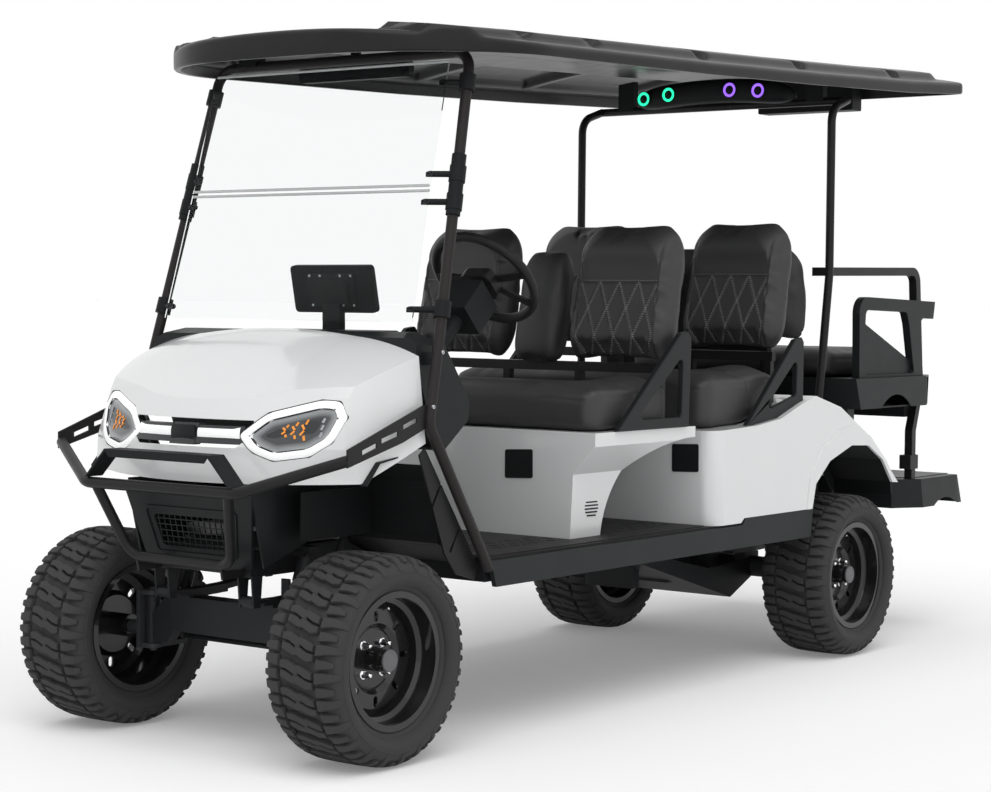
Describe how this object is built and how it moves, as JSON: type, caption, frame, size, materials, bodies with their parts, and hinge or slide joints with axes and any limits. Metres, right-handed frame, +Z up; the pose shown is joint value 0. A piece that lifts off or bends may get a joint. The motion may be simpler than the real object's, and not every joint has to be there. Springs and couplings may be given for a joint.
{
  "type": "golf cart",
  "caption": "Lifted long golf cart with a moulded roof, folding windshield, quilted bench seats, rear-facing flip seat, brush guard and off-road wheels.",
  "frame": {"origin": "on the ground under the centre of the cart's overall box", "axes": "+X to the cart's left, +Y rearward along its length, +Z up"},
  "size_m": [1.328, 3.885, 2.1935],
  "materials": {
    "tyre_rubber": "matte moulded rubber",
    "wheel_black": "satin black powder coat",
    "chassis_black": "satin black chassis paint",
    "engine_metal": "cast",
    "floor_rubber": "ribbed mat",
    "trim_black": "fine grain moulding",
    "grip_black": "soft satin",
    "body_white": "gloss white",
    "lamp_black": "dark gloss",
    "tube_black": "satin black powder coat",
    "clear_pane": "clear polycarbonate",
    "roof_black": "satin moulded shell",
    "seat_vinyl": "soft quilted vinyl"
  },
  "bodies": {
    "chassis": {"brush_guard": "tube_black", "bumper_plate": "trim_black", "dashboard": "trim_black", "display_tablet": "trim_black", "engine": "engine_metal", "engine_cradle": "chassis_black", "floor_pan": "floor_rubber", "footrest": "trim_black", "footrest_struts": "tube_black", "frame": "chassis_black", "frame_cross_tubes": "chassis_black", "front_axle": "chassis_black", "front_cowl": "body_white", "front_fascia": "trim_black", "front_hoop": "tube_black", "front_seat_cushion": "seat_vinyl", "front_seat_pod": "body_white", "front_suspension": "chassis_black", "headlamps": "lamp_black", "hip_restraints": "trim_black", "hoop_and_roof_clamps": "trim_black", "middle_seat_cushion": "seat_vinyl", "pedals": "trim_black", "rear_armrests": "trim_black", "rear_axle": "chassis_black", "rear_body": "body_white", "rear_deck": "trim_black", "rear_grab_rails": "tube_black", "rear_roof_struts": "tube_black", "rear_seat_back": "seat_vinyl", "rear_suspension": "chassis_black", "rear_view_mirror": "trim_black", "roof": "roof_black", "roof_console": "trim_black", "seat_backs": "seat_vinyl", "seat_frames": "chassis_black", "sill_trim": "trim_black", "speaker_bar": "lamp_black", "steering_column": "trim_black", "wheel_liners": "trim_black", "windshield_lower": "clear_pane", "windshield_upper": "clear_pane"},
    "front_left_wheel": {"tyre_front_left": "tyre_rubber", "rim_front_left": "wheel_black"},
    "front_right_wheel": {"tyre_front_right": "tyre_rubber", "rim_front_right": "wheel_black"},
    "rear_left_wheel": {"tyre_rear_left": "tyre_rubber", "rim_rear_left": "wheel_black"},
    "rear_right_wheel": {"tyre_rear_right": "tyre_rubber", "rim_rear_right": "wheel_black"},
    "knuckle_left": {"knuckle_left": "chassis_black"},
    "knuckle_right": {"knuckle_right": "chassis_black"},
    "steering_links": {"steering_links": "chassis_black"},
    "pitman_arm": {"pitman_arm": "chassis_black"},
    "steering_wheel": {"steering_wheel": "grip_black"},
    "rear_seat": {"rear_seat_cushion": "seat_vinyl"}
  },
  "joints": [
    {"name": "steer_left", "type": "hinge", "parent": "chassis", "child": "knuckle_left", "pos_m": [0.34, -1.6175, 0.292], "axis": [0, 0, 1], "range_deg": [-28, 28]},
    {"name": "steer_right", "type": "hinge", "parent": "chassis", "child": "knuckle_right", "pos_m": [-0.34, -1.6175, 0.292], "axis": [0, 0, 1], "range_deg": [-28, 28]},
    {"name": "link_pivot", "type": "hinge", "parent": "knuckle_left", "child": "steering_links", "pos_m": [0.34, -1.4975, 0.26], "axis": [0, 0, 1], "range_deg": [-28, 28]},
    {"name": "pitman_turn", "type": "hinge", "parent": "chassis", "child": "pitman_arm", "pos_m": [0.215, -1.5425, 0.294], "axis": [0, 0, 1], "range_deg": [-28, 28]},
    {"name": "steering_wheel_turn", "type": "hinge", "parent": "chassis", "child": "steering_wheel", "pos_m": [0.3, -0.8465, 1.345], "axis": [0, 0.7314, 0.682], "range_deg": [-280, 280]},
    {"name": "rear_seat_flip", "type": "hinge", "parent": "chassis", "child": "rear_seat", "pos_m": [0, 1.5525, 1.06], "axis": [-1, 0, 0], "range_deg": [0, 180]},
    {"name": "front_left_roll", "type": "hinge", "parent": "knuckle_left", "child": "front_left_wheel", "pos_m": [0.494, -1.6175, 0.292], "axis": [1, 0, 0], "continuous": true},
    {"name": "front_right_roll", "type": "hinge", "parent": "knuckle_right", "child": "front_right_wheel", "pos_m": [-0.494, -1.6175, 0.292], "axis": [1, 0, 0], "continuous": true},
    {"name": "rear_left_roll", "type": "hinge", "parent": "chassis", "child": "rear_left_wheel", "pos_m": [0.516, 0.9555, 0.292], "axis": [1, 0, 0], "continuous": true},
    {"name": "rear_right_roll", "type": "hinge", "parent": "chassis", "child": "rear_right_wheel", "pos_m": [-0.516, 0.9555, 0.292], "axis": [1, 0, 0], "continuous": true}
  ],
  "couplings": [
    {"joint": "steer_right", "follows": "steer_left", "ratio": 1},
    {"joint": "link_pivot", "follows": "steer_left", "ratio": -1},
    {"joint": "pitman_turn", "follows": "steer_left", "ratio": 1},
    {"joint": "steering_wheel_turn", "follows": "steer_left", "ratio": 10}
  ]
}
